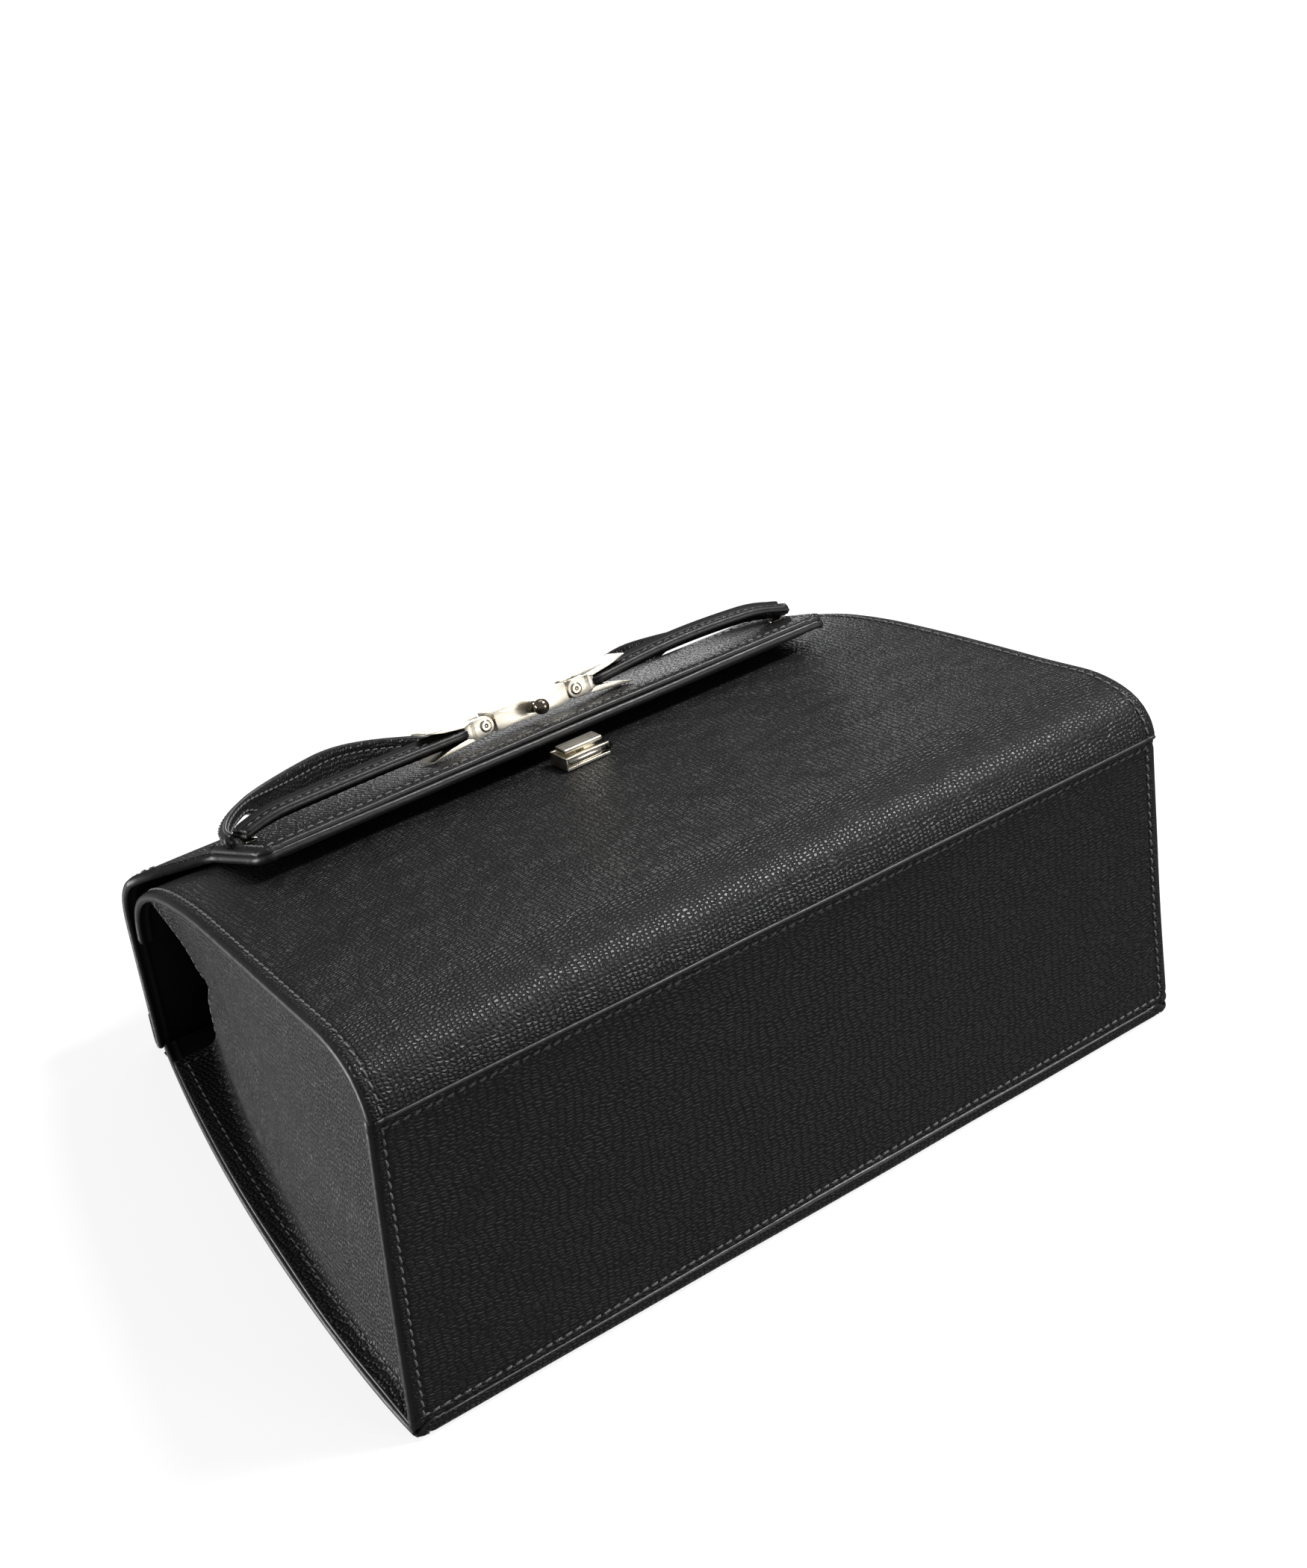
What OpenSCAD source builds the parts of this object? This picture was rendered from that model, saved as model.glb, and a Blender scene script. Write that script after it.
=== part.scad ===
// Structured doctor bag: trapezoid leather body, folded side gussets, roof flap
// with a front tab, loop handle, two-fork link bar and a small turn lock.
// Millimetres, +Z up, base on z = 0, front towards -Y, origin under the middle.

/* [Body] */
// Width of the front panel where it meets the base
bag_w = 280; // [240:1:320]
// Depth of the base from the front seam to the back
base_d = 101.6; // [90:0.2:115]
// Height of the roof of the bag
bag_h = 174.4; // [165:0.2:185]
// Thickness of the shell leather
leather_t = 2.6; // [2:0.1:3]
// How much narrower each side gets per millimetre of height
side_taper = 0.088; // [0.06:0.002:0.1]
// Lean of the back panel towards the front, in degrees
back_lean = 12.4; // [8:0.2:14]
// Thickness of the soft gusset leather
gusset_t = 1.4; // [1:0.1:1.8]

/* [Flap] */
// Width of the front tab of the flap
tab_w = 212; // [190:1:220]
// Lean of the tab from the vertical, in degrees
tab_lean = 19.6; // [18:0.2:20]
// Height of the lower edge of the tab above the base
tab_low_z = 111; // [106:0.5:116]
// Thickness of the facing sewn on the tab
facing_t = 1.8; // [1.2:0.1:2.2]

/* [Handle and link] */
// Height of the handle loop above its roots
handle_h = 78; // [70:1:86]
// Width of the handle band at its middle
band_w = 20; // [16:1:22]
// Thickness of the handle band
band_t = 3.2; // [2.6:0.1:4]
// How far the right half of the loose handle lies further back than the left
handle_skew = 17; // [0:1:17]
// Thickness of the link straps
strap_t = 3; // [2.4:0.1:3.4]
// Width of the link straps
strap_w = 11; // [9:0.5:12]
// Distance between the two link pins
pin_span = 34; // [30:1:38]
// Diameter of the link pins
pin_d = 2.4; // [2:0.1:2.6]
// Diameter of the ball of the stud
ball_d = 5; // [4:0.2:6]

/* [Lock] */
// Width of the lock frame
lock_w = 16; // [14:0.5:18]
// Height of the lock frame
lock_h = 9; // [8:0.5:10]
// Height of the lock centre above the base
lock_z = 102.5; // [99:0.5:103]

/* [Hidden] */
$fn = 48;

black = "#17181a";
black_soft = "#232428";
black_cloth = "#2a2a2d";
gold = "#d9c391";
steel = "#a9abad";

seam_gap = 0.15;               // air between pieces sewn to each other
edge_inset = 3;                // gussets start this far inside the panel edges
lining_t = 1;
board_t = 1.8;
gusset_top_z = 157;
tab_low_y = -20.5;
hinge_y = 65.6;
hinge_z = bag_h - leather_t / 2 - 1.6;
root_s = 20;                   // handle and strap roots above the tab's lower edge
root_x = tab_w / 2 - 3;
bar_half = 14;
bar_depth = 6;
bar_height = 10;
link_v = 5.4;                  // link line in front of the tab face
fork_len = 17;
fork_plate_t = 1.3;
lock_lean = 3.2;               // lean of the front panel behind the lock
stud_reach = 6;                // ball centre below the bar
steps = 10;                    // points along each curve of a profile

// The bag is drawn with y = 0 at the front base seam, then centred in y.
front_most = on_tab(root_s - bar_height / 2 - stud_reach, link_v).x - ball_d / 2;
back_most = base_d;
mid_y = (front_most + back_most) / 2;
module placed() translate([0, -mid_y, 0]) children();

// ---- curves ----
function bez(a, b, c, d, n = steps) = [for (i = [0:n]) let (t = i / n, u = 1 - t)
    u * u * u * a + 3 * u * u * t * b + 3 * u * t * t * c + t * t * t * d];
function unit(v) = v / norm(v);
function tangent(p, i) = unit(p[min(i + 1, len(p) - 1)] - p[max(i - 1, 0)]);
function left_of(v) = [-v.y, v.x];
function shifted(p, d) = [for (i = [0:len(p) - 1]) p[i] + d * left_of(tangent(p, i))];
function reversed(p) = [for (i = [len(p) - 1:-1:0]) p[i]];
function ribbon(p, a, b) = concat(shifted(p, a), reversed(shifted(p, b)));

// Closed skin between an outer and an inner grid of the same rows and columns
module skin(outer, inner) {
    rows = len(outer);
    cols = len(outer[0]);
    n = rows * cols;
    pts = concat([for (r = outer) for (p = r) p], [for (r = inner) for (p = r) p]);
    function at(r, c) = r * cols + c;
    polyhedron(pts, concat(
        [for (r = [0:rows - 2]) for (c = [0:cols - 2]) each [
            [at(r, c), at(r, c + 1), at(r + 1, c + 1)], [at(r, c), at(r + 1, c + 1), at(r + 1, c)],
            [n + at(r, c), n + at(r + 1, c + 1), n + at(r, c + 1)],
            [n + at(r, c), n + at(r + 1, c), n + at(r + 1, c + 1)]]],
        [for (c = [0:cols - 2]) each [
            [at(0, c), n + at(0, c + 1), at(0, c + 1)], [at(0, c), n + at(0, c), n + at(0, c + 1)],
            [at(rows - 1, c), at(rows - 1, c + 1), n + at(rows - 1, c + 1)],
            [at(rows - 1, c), n + at(rows - 1, c + 1), n + at(rows - 1, c)]]],
        [for (r = [0:rows - 2]) each [
            [at(r, 0), at(r + 1, 0), n + at(r + 1, 0)], [at(r, 0), n + at(r + 1, 0), n + at(r, 0)],
            [at(r, cols - 1), n + at(r + 1, cols - 1), at(r + 1, cols - 1)],
            [at(r, cols - 1), n + at(r, cols - 1), n + at(r + 1, cols - 1)]]]));
}

// Solid swept through rings of the same number of points
module swept(rings) {
    n = len(rings);
    m = len(rings[0]);
    polyhedron([for (r = rings) for (p = r) p], concat(
        [[for (k = [m - 1:-1:0]) k]],
        [for (i = [0:n - 2]) for (k = [0:m - 1]) let (q = (k + 1) % m) each [
            [i * m + k, i * m + q, (i + 1) * m + q], [i * m + k, (i + 1) * m + q, (i + 1) * m + k]]],
        [[for (k = [0:m - 1]) (n - 1) * m + k]]));
}

// ---- body outline ----
// Outer side profile of the front panel, from the base seam to the end of the roll
front_path = concat(
    bez([0, 0], [-8, 0], [-14.5, 6], [-15.4, 24]),
    [[-13.9, 50], [-12.3, 77]],
    bez([-10.6, 104], [-8.8, 124], [-4.5, 142], [1.5, 153]),
    [for (p = bez([1.5, 153], [6, 161], [12, 169.2], [25, 169.6])) if (p.x > 1.6) p]);
function half_w(z) = bag_w / 2 - side_taper * z;
function front_y(z) = lookup(z, [for (i = [3:len(front_path) - 3]) [front_path[i].y, front_path[i].x]]);
function back_y(z) = base_d - z * tan(back_lean);
// Half width of the back panel along its slope: bowed, widest near the base
back_len = 171.5;
function back_half(s) = 126.5 + 19.3 * (1 - pow(max(s, 0) / back_len, 2.2));

// Profile in Y and Z drawn out along X
module across(half) {
    rotate([90, 0, 90]) translate([0, 0, -half]) linear_extrude(2 * half) children();
}
// Front-view outline in X and Z drawn out along Y
module through_front(from_y, to_y) {
    translate([0, to_y, 0]) rotate([90, 0, 0]) linear_extrude(to_y - from_y) children();
}
module taper_outline(inset) {
    polygon([[-half_w(0) + inset, 0], [half_w(0) - inset, 0],
        [half_w(bag_h) - inset, bag_h], [-half_w(bag_h) + inset, bag_h]]);
}

module front_panel() color(black) placed() intersection() {
    difference() {
        across(bag_w) polygon(ribbon(front_path, 0, -leather_t));
        lock_place() rotate([90, 0, 0]) cylinder(d = 3.2, h = 20, center = true);
    }
    through_front(-40, 60) taper_outline(0);
}
module bottom_panel() color(black) placed() linear_extrude(leather_t)
    polygon([[-half_w(0), 0.5], [half_w(0), 0.5], [half_w(0) + 4, base_d - 3.6],
        [-half_w(0) - 4, base_d - 3.6]]);

module back_frame() translate([0, base_d, 0]) rotate([90 + back_lean, 0, 0]) children();
module back_outline(inset, from_s, to_s) {
    n = 16;
    right = [for (i = [0:n]) let (s = from_s + (to_s - from_s) * i / n) [back_half(s) - inset, s]];
    polygon(concat(right, reversed([for (p = right) [-p.x, p.y]])));
}
module back_panel() color(black) placed() intersection() {
    back_frame() linear_extrude(leather_t) back_outline(0, -2, back_len);
    translate([-200, 0, 0]) cube([400, 200, 200]);
}

// Gussets: a side wall folded in from the front panel, and a flange on the back panel
function recess(z) = 7 + 10.5 * pow(z / gusset_top_z, 1.6);
function wall_front_x(z) = half_w(z) - edge_inset;
function wall_back_x(z) = back_half(z / cos(back_lean)) - recess(z);
gusset_rows = 12;
gusset_cols = 6;
module gusset() {
    z0 = leather_t + seam_gap;
    zs = [for (i = [0:gusset_rows]) z0 + (gusset_top_z - z0) * i / gusset_rows];
    function wall(r, c, inset) = let (z = zs[r], f = c / gusset_cols,
        y0 = front_y(z) + leather_t + 0.6 + 9 * pow(max(0, 1 - z / 18), 2),
        y1 = back_y(z) - (leather_t + seam_gap) / cos(back_lean) - gusset_t / 2)
        [-(wall_front_x(z) * (1 - f) + wall_back_x(z) * f) + inset, y0 + (y1 - y0) * f, z];
    skin([for (r = [0:gusset_rows]) [for (c = [0:gusset_cols]) wall(r, c, 0)]],
        [for (r = [0:gusset_rows]) [for (c = [0:gusset_cols]) wall(r, c, gusset_t)]]);
    function flange(r, f, back) = let (z = zs[r],
        y = back_y(z) - (leather_t + seam_gap) / cos(back_lean) - (back ? 0 : gusset_t))
        [-(back_half(z / cos(back_lean)) - edge_inset) * (1 - f)
            - (wall_back_x(z) - gusset_t - 0.5) * f, y, z];
    skin([for (r = [0:gusset_rows]) [for (f = [0, 1]) flange(r, f, true)]],
        [for (r = [0:gusset_rows]) [for (f = [0, 1]) flange(r, f, false)]]);
}
module gusset_left() color(black_soft) placed() gusset();
module gusset_right() color(black_soft) placed() mirror([1, 0, 0]) gusset();

// ---- inside ----
lining_path = [for (i = [8:len(front_path) - 9]) front_path[i]];
module front_lining() color(black_cloth) placed() intersection() {
    difference() {
        across(bag_w) polygon(ribbon(lining_path, -leather_t - 0.3, -leather_t - 0.3 - lining_t));
        lock_place() rotate([90, 0, 0]) translate([0, 0, -4]) cylinder(d = 26, h = 10, center = true);
    }
    through_front(-40, 60) taper_outline(edge_inset + gusset_t + 14);
}
module back_lining() color(black_cloth) placed()
    back_frame() translate([0, 0, leather_t + 0.1]) linear_extrude(lining_t)
        back_outline(23.5, 6.5, back_len - 12);
module base_board() color("#6b5b45") placed() translate([0, 0, leather_t + 0.1])
    linear_extrude(board_t) polygon([[-128, 4], [128, 4], [128, base_d - 9], [-128, base_d - 9]]);
module bottom_lining() color(black_cloth) placed()
    translate([0, 0, leather_t + 0.1 + board_t + 0.1]) linear_extrude(lining_t)
        polygon([[-127, 5], [127, 5], [127, base_d - 9.6], [-127, base_d - 9.6]]);
module inner_pocket() color(black_cloth) placed()
    back_frame() translate([0, 0, leather_t + 0.2 + lining_t]) linear_extrude(1.6)
        polygon([[-70, 30], [70, 30], [72, 122], [-72, 122]]);
// Flat steel stay inside the mouth of the front panel
module mouth_stay() color(steel) placed() across(104)
    polygon(ribbon([[4.2, 152.8], [7.2, 156.4], [10.6, 159.8]], -1.9, -2.9));

// ---- lock on the front panel ----
module lock_place() translate([0, front_y(lock_z), lock_z]) rotate([-lock_lean, 0, 0]) children();
module lock_frame() color(gold) placed() lock_place() difference() {
    translate([-lock_w / 2, -4.4, -lock_h / 2]) cube([lock_w, 4.2, lock_h]);
    translate([-lock_w / 2 + 1.5, -5, -lock_h / 2 - 1]) cube([lock_w - 3, 4, lock_h - 0.6]);
    rotate([90, 0, 0]) cylinder(d = 3.4, h = 12, center = true);
    translate(barrel_place) rotate([0, 90, 0]) cylinder(d = 2.5, h = lock_w + 2, center = true);
}
barrel_place = [0, -2.6, -2.9];
module lock_barrel() color(gold) placed() lock_place() translate(barrel_place)
    rotate([0, 90, 0]) {
        cylinder(d = 2.4, h = lock_w + 3, center = true);
        for (x = [-lock_w / 2 + 2, lock_w / 2 - 5]) translate([0, 0, x]) cylinder(d = 2.9, h = 3);
    }
module lock_backing() color(steel) placed() lock_place() difference() {
    translate([-10, leather_t + 0.3, -6]) cube([20, 1, 12]);
    rotate([90, 0, 0]) cylinder(d = 4.4, h = 20, center = true);
    for (x = [-7, 7]) translate([x, 0, 3.2]) rotate([90, 0, 0]) cylinder(d = 1.8, h = 20, center = true);
}
module lock_screws() color(steel) placed() lock_place() for (x = [-7, 7])
    translate([x, 0, 3.2]) rotate([-90, 0, 0]) {
        translate([0, 0, leather_t + 0.35]) cylinder(d = 1.6, h = 1.6);
        translate([0, 0, leather_t + 1.4]) cylinder(d = 3, h = 0.8);
    }
module turn_plate() color(gold) placed() lock_place() {
    translate([-lock_w / 2 + 1, -6.4, -2.7]) cube([lock_w - 2, 1.4, 5.4]);
}
module turn_spindle() color(gold) placed() lock_place() rotate([90, 0, 0]) {
    translate([0, 0, -leather_t - 1.9]) cylinder(d = 2.6, h = leather_t + 1.9 + 5);
    translate([0, 0, -leather_t - 2.7]) cylinder(d = 4.2, h = 0.8);
}

// ---- flap ----
// Local frame of the tab: X along it, Z up its face, -Y outwards, origin at its lower edge
module tab_frame() translate([0, tab_low_y, tab_low_z]) rotate([-tab_lean, 0, 0]) children();
function on_tab(s, v) = [tab_low_y + s * sin(tab_lean) - v * cos(tab_lean),
    tab_low_z + s * cos(tab_lean) + v * sin(tab_lean)];
// Outer side profile of the flap, from the hinge over the front fold to the tab's lower edge
fold_s = 54;
flap_path = concat([[hinge_y, hinge_z + leather_t / 2], [40, bag_h - 0.6]],
    bez([20, bag_h], [10, bag_h + 0.3], on_tab(fold_s + 9, -facing_t), on_tab(fold_s - 4, -facing_t)),
    [on_tab(0, -facing_t)]);
module flap_outline(inset) {
    r = 6;
    half_tab = tab_w / 2 - inset;
    half_roof = half_w(bag_h) + 1.2 - inset;
    low = tab_low_z - 8 + inset;
    right = concat([for (a = [-90:15:0]) [half_tab - r + r * cos(a), low + 8 + r + r * sin(a)]],
        [[half_tab, 146], [half_roof - 5, 158], [half_roof, 164], [half_roof, 200]]);
    polygon(concat(right, reversed([for (p = right) [-p.x, p.y]])));
}
module flap() color(black) placed() union() {
    intersection() {
        across(bag_w) polygon(ribbon(flap_path, 0, leather_t));
        through_front(-40, 100) flap_outline(0);
    }
    translate([0, hinge_y, hinge_z]) rotate([0, 90, 0])
        cylinder(d = leather_t, h = 2 * half_w(bag_h), center = true);
}
module tab_facing() color(black) placed() tab_frame() rotate([90, 0, 0])
    translate([0, 0, -facing_t + 0.05]) linear_extrude(facing_t - 0.05) rounded_strip(tab_w, 0, 40, 6);
module rounded_strip(w, low, high, r) {
    right = concat([for (a = [-90:15:0]) [w / 2 - r + r * cos(a), low + r + r * sin(a)]],
        [for (a = [0:30:90]) [w / 2 - 3 + 3 * cos(a), high - 3 + 3 * sin(a)]]);
    polygon(concat(right, reversed([for (p = right) [-p.x, p.y]])));
}
module flap_lining() color(black_cloth) placed() tab_frame() rotate([90, 0, 0])
    translate([0, 0, -facing_t - leather_t - 0.85]) linear_extrude(0.8) rounded_strip(tab_w - 8, 4, 34, 4);
module root_rivets() color(gold) placed() tab_frame() for (sx = [-1, 1])
    translate([sx * (root_x - 4), 0, root_s]) rotate([90, 0, 0]) {
        translate([0, 0, 0.1]) cylinder(d = 4.4, h = 0.5);
    }

// ---- handle loop ----
// Middle line of the band: a round arch. The band is narrow where it lies between the tab
// and the link straps, and widens towards the back once it is past the fold of the flap.
handle_rise = 1.6;             // exponent of the arch's outline
leg_w = 3;                     // width of the band below the fold
leg_h = 34;
function ease(t) = let (u = max(0, min(1, t))) u * u * (3 - 2 * u);
function arch(a) = [(root_x + 1) * sign(cos(a)) * pow(abs(cos(a)), 2 / handle_rise),
    handle_h * pow(abs(sin(a)), 2 / handle_rise)];
function band_full(h) = leg_w + (band_w - leg_w) * ease((h - leg_h) / 28);
function band_front_v(x, h) = 3.65 + 2.2 * ease(h / 45)
    - handle_skew * ease((x + 45) / 85) * ease((h - 46) / 24);
arch_angles = [for (i = [0:36]) 2 + 176 * i / 36];
function band_ring(a, inner, outer) = let (p = arch(a), q = arch(a + 0.5),
    n = left_of(unit(q - p)), w = band_full(p.y), y = w - band_front_v(p.x, p.y))
    [for (c = [[-w, inner], [0, inner], [0, outer], [-w, outer]])
        [p.x - n.x * c.y, y + c.x, root_s + p.y - n.y * c.y]];
module band(inner, outer) {
    tab_frame() swept([for (a = arch_angles) band_ring(a, inner, outer)]);
}
module handle_band() color(black) placed() band(0, band_t - lining_t);
module handle_lining() color(black_soft) placed() band(-lining_t, -0.05);

// ---- link: two straps, two forks, two pins and the bar ----
strap_s = root_s - strap_w / 2;
pin_x = pin_span / 2;
strap_end = pin_x + 7;
strap_root = root_x - 1.6;
module strap() difference() {
    translate([-strap_root, -link_v - strap_t / 2, strap_s])
        cube([strap_root - strap_end, strap_t, strap_w]);
    for (x = [-pin_x - 13, -pin_x - 9.5]) translate([x, 0, root_s]) rotate([90, 0, 0])
        cylinder(d = 1.5, h = 30, center = true);
}
module fork() difference() {
    union() {
        for (v = [-1, 1]) translate([0, -link_v + v * (strap_t / 2 + 0.05 + fork_plate_t / 2), 0])
            translate([-pin_x - fork_len, -fork_plate_t / 2, strap_s + 1])
                cube([fork_len - 4, fork_plate_t, strap_w - 2]);
        translate([-pin_x - 6.6, -link_v - strap_t / 2 - 0.05 - fork_plate_t, strap_s + 1])
            cube([3.2, strap_t + 0.1 + 2 * fork_plate_t, strap_w - 2]);
        for (s = [strap_s + 1, strap_s + strap_w - 3.4]) translate([-pin_x - 4, -link_v, s])
            fork_ear();
    }
    translate([-pin_x, -link_v, 0]) cylinder(d = pin_d + 0.05, h = 60);
    for (x = [-pin_x - 13, -pin_x - 9.5]) translate([x, 0, root_s]) rotate([90, 0, 0])
        cylinder(d = 1.5, h = 30, center = true);
}
// Rounded ear that carries the pin
module fork_ear() {
    translate([0, -2.6, 0]) cube([4, 5.2, 2.4]);
    translate([4, 0, 0]) cylinder(d = 5.2, h = 2.4);
}
module fork_rivets() for (x = [-pin_x - 13, -pin_x - 9.5])
    translate([x, -link_v, root_s]) rotate([90, 0, 0]) {
        cylinder(d = 1.4, h = strap_t + 2 * fork_plate_t + 0.22, center = true);
        for (v = [-1, 1]) translate([0, 0, v * (strap_t / 2 + fork_plate_t + 0.27)])
            cylinder(d = 2.2, h = 0.4, center = true);
    }
module strap_left() color(black) placed() tab_frame() strap();
module fork_left() color(gold) placed() tab_frame() fork();
module rivets_left() color(gold) placed() tab_frame() fork_rivets();
module strap_right() color(black) placed() tab_frame() mirror([1, 0, 0]) strap();
module fork_right() color(gold) placed() tab_frame() mirror([1, 0, 0]) fork();
module rivets_right() color(gold) placed() tab_frame() mirror([1, 0, 0]) fork_rivets();

knuckle_low = strap_s + 3.8;
knuckle_h = strap_w - 7.6;
open_play = 0.9;               // radial play of the open pivot at the right pin
module link_bar() color(gold) placed() tab_frame() difference() {
    union() {
        translate([-bar_half + 0.6, -link_v - bar_depth / 2, root_s - bar_height / 2])
            cube([2 * bar_half - 1.2, bar_depth, bar_height]);
        for (sx = [-1, 1]) {
            translate([sx * pin_x, -link_v, knuckle_low]) cylinder(d = 5, h = knuckle_h);
            translate([min(sx * pin_x, sx * (bar_half - 2)), -link_v - 1.6, knuckle_low])
                cube([pin_x - bar_half + 2, 3.2, knuckle_h]);
        }
    }
    translate([-pin_x, -link_v, 0]) cylinder(d = pin_d + 0.05, h = 60);
    translate([pin_x, -link_v, 0]) cylinder(d = pin_d + 2 * open_play, h = 60);
    translate([0, -link_v, 0]) cylinder(d = 2, h = root_s - bar_height / 2 + 2.5);
}
module ball_stud() color(gold) placed() tab_frame() translate([0, -link_v, 0]) {
    foot = root_s - bar_height / 2;
    translate([0, 0, foot - stud_reach]) sphere(d = ball_d);
    translate([0, 0, foot - stud_reach]) cylinder(d = 1.9, h = stud_reach + 2.4);
    translate([0, 0, foot - 1.3]) cylinder(d = 3.6, h = 1.2);
}
module pin() translate([-pin_x, -link_v, 0]) {
    translate([0, 0, strap_s + 0.4]) cylinder(d = pin_d, h = strap_w - 0.8);
    translate([0, 0, strap_s]) cylinder(d = 4, h = 0.9);
}
module pin_left() color(steel) placed() tab_frame() pin();
module pin_right() color(steel) placed() tab_frame() mirror([1, 0, 0]) pin();

front_panel();
bottom_panel();
back_panel();
gusset_left();
gusset_right();
front_lining();
back_lining();
base_board();
bottom_lining();
inner_pocket();
mouth_stay();
lock_frame();
lock_barrel();
lock_backing();
lock_screws();
flap();
tab_facing();
flap_lining();
root_rivets();
handle_band();
handle_lining();
strap_left();
fork_left();
rivets_left();
link_bar();
ball_stud();
pin_left();
pin_right();
strap_right();
fork_right();
rivets_right();
turn_plate();
turn_spindle();
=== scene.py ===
"""Doctor bag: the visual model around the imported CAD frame, lying on its back for the picture."""
import math
import bmesh
import bpy
import numpy as np
from mathutils import Matrix, Vector, noise


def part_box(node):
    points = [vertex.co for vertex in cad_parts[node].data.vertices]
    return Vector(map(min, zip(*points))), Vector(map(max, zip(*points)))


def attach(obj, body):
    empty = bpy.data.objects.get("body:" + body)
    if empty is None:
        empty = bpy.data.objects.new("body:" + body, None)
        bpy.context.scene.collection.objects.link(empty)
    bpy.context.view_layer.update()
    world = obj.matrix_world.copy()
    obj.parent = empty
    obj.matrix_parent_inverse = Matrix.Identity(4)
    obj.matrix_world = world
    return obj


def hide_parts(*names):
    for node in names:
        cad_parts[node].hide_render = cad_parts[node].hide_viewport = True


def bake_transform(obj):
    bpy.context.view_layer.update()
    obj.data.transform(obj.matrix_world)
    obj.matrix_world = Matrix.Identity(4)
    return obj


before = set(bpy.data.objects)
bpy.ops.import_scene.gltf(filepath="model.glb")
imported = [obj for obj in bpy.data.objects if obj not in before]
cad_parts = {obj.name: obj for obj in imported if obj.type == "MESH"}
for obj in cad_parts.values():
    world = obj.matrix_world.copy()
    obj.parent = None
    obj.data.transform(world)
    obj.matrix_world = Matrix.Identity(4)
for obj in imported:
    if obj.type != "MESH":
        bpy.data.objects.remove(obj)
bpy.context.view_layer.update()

# ---- the bag's own measures, in millimetres, drawn from the front base seam ----
BASE_D = 101.6  # depth of the base
LEATHER_T, GUSSET_T = 2.6, 1.4  # thickness of the double leather and of a gusset
LEAN, TAB_LEAN, LOCK_LEAN = math.radians(12.4), math.radians(19.6), math.radians(3.2)  # from upright
BACK_LEN, MOUTH_Z = 171.5, 157.0  # length up the back panel, height of the gussets' tops
TAB_Y, TAB_Z = -20.5, 111.0  # foot of the tab's face
ROOT_S, LINK_V, PIN_X = 20.0, 5.4, 17.0  # link line up the tab and before its face, pins from the middle
HINGE_Y, HINGE_Z = 65.6, 171.5
LOCK_Z = 102.5
# The CAD centres the bag in y, so the back panel's lower edge says where the seam went.
SEAM_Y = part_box("back_panel")[1].y * 1000 - BASE_D


def metres(p):
    """Drawn millimetres to the frame's metres."""
    p = np.asarray(p, float)
    return (p + np.array([0.0, SEAM_Y, 0.0])) * 0.001


def unit(v):
    v = np.asarray(v, float)
    return v / np.maximum(np.linalg.norm(v, axis=-1, keepdims=True), 1e-12)


def bez(a, b, c, d, n=10):
    t = np.linspace(0, 1, n + 1)[:, None]
    u = 1 - t
    return u**3 * np.array(a) + 3 * u * u * t * np.array(b) + 3 * u * t * t * np.array(c) + t**3 * np.array(d)


def tab(x, v, s):
    """Tab frame (across, in front of the tab's face, up it) to drawn millimetres, for arrays."""
    x, v, s = np.broadcast_arrays(np.asarray(x, float), np.asarray(v, float), np.asarray(s, float))
    return np.stack([x, TAB_Y + s * math.sin(TAB_LEAN) - v * math.cos(TAB_LEAN),
                     TAB_Z + s * math.cos(TAB_LEAN) + v * math.sin(TAB_LEAN)], -1)


def on_tab(s, v):
    """A point of the side profile (y, z) at s up the tab and v in front of its face."""
    return tab(0, v, s)[1:]


def half_w(z):
    """Half width of the front at height z."""
    return 140 - 0.088 * z


def back_y(z):
    """The back panel's outer face at height z."""
    return BASE_D - z * math.tan(LEAN)


def back_half(s):
    """Half width of the back panel at s up its slope."""
    return 126.5 + 19.3 * (1 - (np.maximum(s, 0) / BACK_LEN) ** 2.2)


def arc(path):
    """Arc length at each point of a path."""
    return np.concatenate([[0], np.cumsum(np.linalg.norm(np.diff(path, axis=0), axis=1))])


def along(path, s):
    """Points of a path at arc lengths s, straight between its own points."""
    a = arc(path)
    return np.stack([np.interp(s, a, path[:, k]) for k in range(path.shape[1])], -1)


def smooth_path(path, n):
    """The same path with n evenly spaced points, its corners eased."""
    p = along(path, np.linspace(0, arc(path)[-1], n))
    for _ in range(6):
        p[1:-1] = 0.25 * p[:-2] + 0.5 * p[1:-1] + 0.25 * p[2:]
    return p


def offset_path(path, d):
    """The path moved d towards the inside of the bag."""
    t = unit(np.gradient(path, axis=0))
    return path + d * np.stack([t[:, 1], -t[:, 0]], -1)


front_path = np.concatenate([
    bez([0, 0], [-8, 0], [-14.5, 6], [-15.4, 24]), [[-13.9, 50], [-12.3, 77]],
    bez([-10.6, 104], [-8.8, 124], [-4.5, 142], [1.5, 153]),
    bez([1.5, 153], [6, 161], [12, 169.2], [25, 169.6])[1:]])
front_smooth = smooth_path(front_path, 160)
front_wall = front_smooth[(front_smooth[:, 1] > 22) & (front_smooth[:, 1] < 160)]  # between its two bends


def front_y(z):
    """The front panel's outer face at height z."""
    return np.interp(z, front_wall[:, 1], front_wall[:, 0])


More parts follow.
